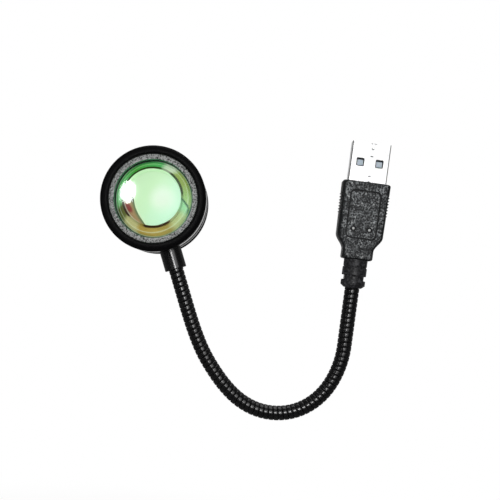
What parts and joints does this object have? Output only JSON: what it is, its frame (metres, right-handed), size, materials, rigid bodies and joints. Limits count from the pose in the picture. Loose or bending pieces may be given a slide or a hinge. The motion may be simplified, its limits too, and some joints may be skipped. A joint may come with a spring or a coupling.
{
  "type": "usb gooseneck projection lamp",
  "caption": "Small round projection lamp head with a lens, carried by a bendable gooseneck neck on a flat rectangular power plug.",
  "frame": {"origin": "centre of the grip's front face, where the plug's metal shell leaves the grip and meets its socket", "axes": "+Z along the plug towards its tip, the neck bends in the plane Y = 0 towards -X, and the lens looks along -Y"},
  "size_m": [0.0879, 0.025, 0.0898],
  "materials": {
    "shell_nickel": "bright nickel plate on folded sheet",
    "pale_plastic": "pale blue-white moulded plastic",
    "contact_gold": "gold flash",
    "solder": "dull solder",
    "grip_plastic": "spark-eroded black plastic",
    "relief_plastic": "soft black plastic",
    "lead_red": "smooth insulation",
    "lead_black": "smooth insulation",
    "neck_black": "glossy black coating on a steel spiral",
    "ferrule_black": "glossy black coating",
    "nut_brass": "turned",
    "housing_black": "glossy black",
    "bezel_black": "high gloss black",
    "ring_grey": "blasted grey anodised",
    "lens_glass": "polished, coated",
    "filter_glass": "colour-separating coating",
    "gasket_rubber": "matte",
    "reflector_metal": "bright metallised",
    "emitter_yellow": "phosphor gel",
    "board_white": "white solder mask",
    "resistor_black": "plain",
    "sink_aluminium": "turned",
    "screw_steel": "zinc plated"
  },
  "bodies": {
    "plug": {"usb_shell": "shell_nickel", "usb_tongue": "pale_plastic", "usb_power_contacts": "contact_gold", "usb_data_contacts": "contact_gold", "plug_solder_joints": "solder", "plug_core": "pale_plastic", "plug_grip": "grip_plastic", "strain_relief": "relief_plastic", "neck_end_crimp": "shell_nickel", "lead_positive": "lead_red", "lead_negative": "lead_black", "neck_link_01": "neck_black"},
    "neck_02": {"neck_link_02": "neck_black"},
    "neck_03": {"neck_link_03": "neck_black"},
    "neck_04": {"neck_link_04": "neck_black"},
    "neck_05": {"neck_link_05": "neck_black"},
    "neck_06": {"neck_link_06": "neck_black"},
    "neck_07": {"neck_link_07": "neck_black"},
    "neck_08": {"neck_link_08": "neck_black"},
    "neck_09": {"neck_link_09": "neck_black"},
    "neck_10": {"neck_link_10": "neck_black"},
    "neck_11": {"neck_link_11": "neck_black"},
    "neck_12": {"neck_link_12": "neck_black"},
    "neck_13": {"neck_link_13": "neck_black"},
    "neck_14": {"neck_link_14": "neck_black"},
    "neck_15": {"neck_link_15": "neck_black"},
    "neck_16": {"neck_link_16": "neck_black"},
    "neck_17": {"neck_link_17": "neck_black"},
    "head": {"neck_link_18": "neck_black", "neck_ferrule": "ferrule_black", "neck_lock_nut": "nut_brass", "head_housing": "housing_black", "front_bezel": "bezel_black", "lens_retaining_ring": "ring_grey", "projection_lens": "lens_glass", "lens_gasket": "gasket_rubber", "colour_filter": "filter_glass", "reflector_cup": "reflector_metal", "led_emitter": "emitter_yellow", "led_board": "board_white", "series_resistor": "resistor_black", "board_solder_joints": "solder", "heat_sink_plate": "sink_aluminium", "led_board_screws": "screw_steel", "rear_cover": "housing_black", "rear_cover_screws": "screw_steel"}
  },
  "joints": [
    {"name": "neck_curl_01", "type": "hinge", "parent": "plug", "child": "neck_02", "pos_m": [0, 0, -0.0391], "axis": [0, 1, 0], "range_deg": [-20, 16], "deforming": ["lead_positive", "lead_negative"]},
    {"name": "neck_curl_02", "type": "hinge", "parent": "neck_02", "child": "neck_03", "pos_m": [0, 0, -0.0452], "axis": [0, 1, 0], "range_deg": [-20, 16]},
    {"name": "neck_side_03", "type": "hinge", "parent": "neck_03", "child": "neck_04", "pos_m": [0, 0, -0.0513], "axis": [1, 0, 0], "range_deg": [-20, 20]},
    {"name": "neck_curl_04", "type": "hinge", "parent": "neck_04", "child": "neck_05", "pos_m": [-0.00064, 0, -0.05736], "axis": [0, 1, 0], "range_deg": [-20, 13]},
    {"name": "neck_curl_05", "type": "hinge", "parent": "neck_05", "child": "neck_06", "pos_m": [-0.00252, 0, -0.06315], "axis": [0, 1, 0], "range_deg": [-20, 11]},
    {"name": "neck_side_06", "type": "hinge", "parent": "neck_06", "child": "neck_07", "pos_m": [-0.00574, 0, -0.0683], "axis": [0.766, 0, -0.6428], "range_deg": [-20, 20]},
    {"name": "neck_curl_07", "type": "hinge", "parent": "neck_07", "child": "neck_08", "pos_m": [-0.01033, 0, -0.07229], "axis": [0, 1, 0], "range_deg": [-20, 6]},
    {"name": "neck_curl_08", "type": "hinge", "parent": "neck_08", "child": "neck_09", "pos_m": [-0.01594, 0, -0.07461], "axis": [0, 1, 0], "range_deg": [-20, 6]},
    {"name": "neck_side_09", "type": "hinge", "parent": "neck_09", "child": "neck_10", "pos_m": [-0.022, 0, -0.07504], "axis": [0.0872, 0, 0.9962], "range_deg": [-20, 20]},
    {"name": "neck_curl_10", "type": "hinge", "parent": "neck_10", "child": "neck_11", "pos_m": [-0.02789, 0, -0.07357], "axis": [0, 1, 0], "range_deg": [-20, 8]},
    {"name": "neck_curl_11", "type": "hinge", "parent": "neck_11", "child": "neck_12", "pos_m": [-0.03313, 0, -0.07048], "axis": [0, 1, 0], "range_deg": [-20, 13]},
    {"name": "neck_side_12", "type": "hinge", "parent": "neck_12", "child": "neck_13", "pos_m": [-0.03762, 0, -0.06636], "axis": [0.7314, 0, 0.682], "range_deg": [-20, 20]},
    {"name": "neck_curl_13", "type": "hinge", "parent": "neck_13", "child": "neck_14", "pos_m": [-0.04158, 0, -0.06173], "axis": [0, 1, 0], "range_deg": [-20, 16]},
    {"name": "neck_curl_14", "type": "hinge", "parent": "neck_14", "child": "neck_15", "pos_m": [-0.04499, 0, -0.05667], "axis": [0, 1, 0], "range_deg": [-20, 16]},
    {"name": "neck_side_15", "type": "hinge", "parent": "neck_15", "child": "neck_16", "pos_m": [-0.04786, 0, -0.05129], "axis": [0.8988, 0, 0.4384], "range_deg": [-20, 20]},
    {"name": "neck_curl_16", "type": "hinge", "parent": "neck_16", "child": "neck_17", "pos_m": [-0.05043, 0, -0.04576], "axis": [0, 1, 0], "range_deg": [-20, 16]},
    {"name": "neck_curl_17", "type": "hinge", "parent": "neck_17", "child": "head", "pos_m": [-0.05291, 0, -0.04019], "axis": [0, 1, 0], "range_deg": [-20, 16]}
  ]
}
